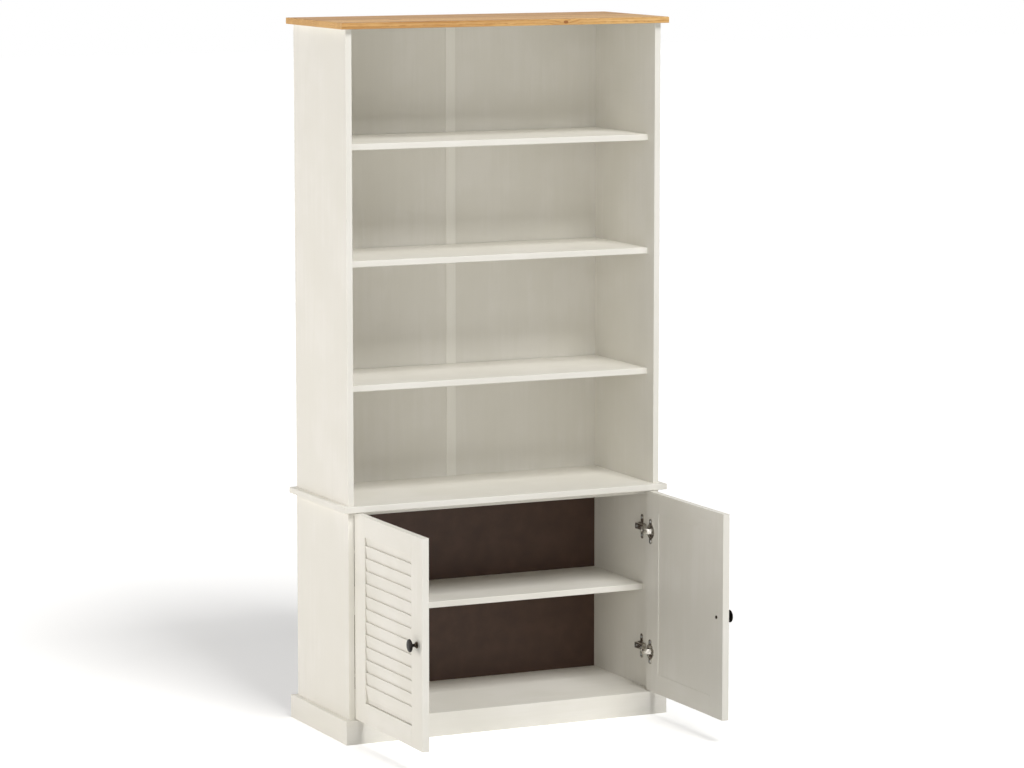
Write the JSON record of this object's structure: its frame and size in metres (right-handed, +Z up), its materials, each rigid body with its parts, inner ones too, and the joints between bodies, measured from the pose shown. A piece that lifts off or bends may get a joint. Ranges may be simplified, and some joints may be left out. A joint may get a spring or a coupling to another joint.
{
  "type": "bookcase with cupboard",
  "caption": "Tall painted bookcase with open shelves, a stained pine top and a lower cupboard whose louvred doors swing on concealed hinges.",
  "frame": {"origin": "on the floor, at mid width, in the middle of the bottom face of the plinth's rear board", "axes": "+Z up from the floor, +X towards the viewer's right, the front and its doors face -Y; both doors stand open at a right angle at rest"},
  "size_m": [0.85, 0.7215, 1.7],
  "materials": {
    "cream_paint": "satin cream paint on pine",
    "stained_pine": "honey stain under clear varnish",
    "brown_hardboard": "dark brown hardboard, matt",
    "joint_strip": "cream moulded strip",
    "beech_dowel": "bare fluted beech",
    "bare_pine": "bare planed pine",
    "zinc_steel": "zinc plated",
    "nickel_steel": "nickel plated pressed steel",
    "dark_bronze": "dark bronze, semi gloss"
  },
  "bodies": {
    "carcass": {"back_screws": "zinc_steel", "bottom_board": "cream_paint", "cabinet_shelf": "cream_paint", "carcass_dowels": "beech_dowel", "door_stop_rail": "cream_paint", "left_hinge_arms": "nickel_steel", "left_hinge_plates": "nickel_steel", "left_plate_screws": "zinc_steel", "lower_back_panel": "brown_hardboard", "lower_side_left": "cream_paint", "lower_side_right": "cream_paint", "plinth_corner_blocks": "bare_pine", "plinth_front": "cream_paint", "plinth_rear": "bare_pine", "plinth_screws": "zinc_steel", "plinth_side_left": "cream_paint", "plinth_side_right": "cream_paint", "right_hinge_arms": "nickel_steel", "right_hinge_plates": "nickel_steel", "right_plate_screws": "zinc_steel", "shelf_dowels": "beech_dowel", "shelf_pins": "zinc_steel", "top_board": "stained_pine", "upper_back_left": "cream_paint", "upper_back_right": "cream_paint", "upper_back_strip": "joint_strip", "upper_shelf_high": "cream_paint", "upper_shelf_low": "cream_paint", "upper_shelf_middle": "cream_paint", "upper_side_left": "cream_paint", "upper_side_right": "cream_paint", "waist_board": "cream_paint"},
    "left_door": {"left_cup_screws": "zinc_steel", "left_door_bottom_rail": "cream_paint", "left_door_free_stile": "cream_paint", "left_door_hinge_stile": "cream_paint", "left_door_knob": "dark_bronze", "left_door_knob_screw": "zinc_steel", "left_door_louvre_slats": "cream_paint", "left_door_panel": "cream_paint", "left_door_top_rail": "cream_paint", "left_hinge_cups": "nickel_steel"},
    "right_door": {"right_cup_screws": "zinc_steel", "right_door_bottom_rail": "cream_paint", "right_door_free_stile": "cream_paint", "right_door_hinge_stile": "cream_paint", "right_door_knob": "dark_bronze", "right_door_knob_screw": "zinc_steel", "right_door_louvre_slats": "cream_paint", "right_door_panel": "cream_paint", "right_door_top_rail": "cream_paint", "right_hinge_cups": "nickel_steel"},
    "left_links": {"left_hinge_links": "nickel_steel"},
    "right_links": {"right_hinge_links": "nickel_steel"}
  },
  "joints": [
    {"name": "left_door_swing", "type": "hinge", "parent": "carcass", "child": "left_door", "pos_m": [-0.395, -0.321, 0.30525], "axis": [0, 0, 1], "range_deg": [0, 90]},
    {"name": "left_links_fold", "type": "hinge", "parent": "carcass", "child": "left_links", "pos_m": [-0.3725, -0.3075, 0.30525], "axis": [0, 0, 1], "range_deg": [0, 124.1]},
    {"name": "right_door_swing", "type": "hinge", "parent": "carcass", "child": "right_door", "pos_m": [0.395, -0.321, 0.30525], "axis": [0, 0, 1], "range_deg": [-90, 0]},
    {"name": "right_links_fold", "type": "hinge", "parent": "carcass", "child": "right_links", "pos_m": [0.3725, -0.3075, 0.30525], "axis": [0, 0, 1], "range_deg": [-124.1, 0]}
  ],
  "couplings": [
    {"joint": "left_links_fold", "follows": "left_door_swing", "ratio": 1.3778},
    {"joint": "right_links_fold", "follows": "right_door_swing", "ratio": 1.3778}
  ]
}
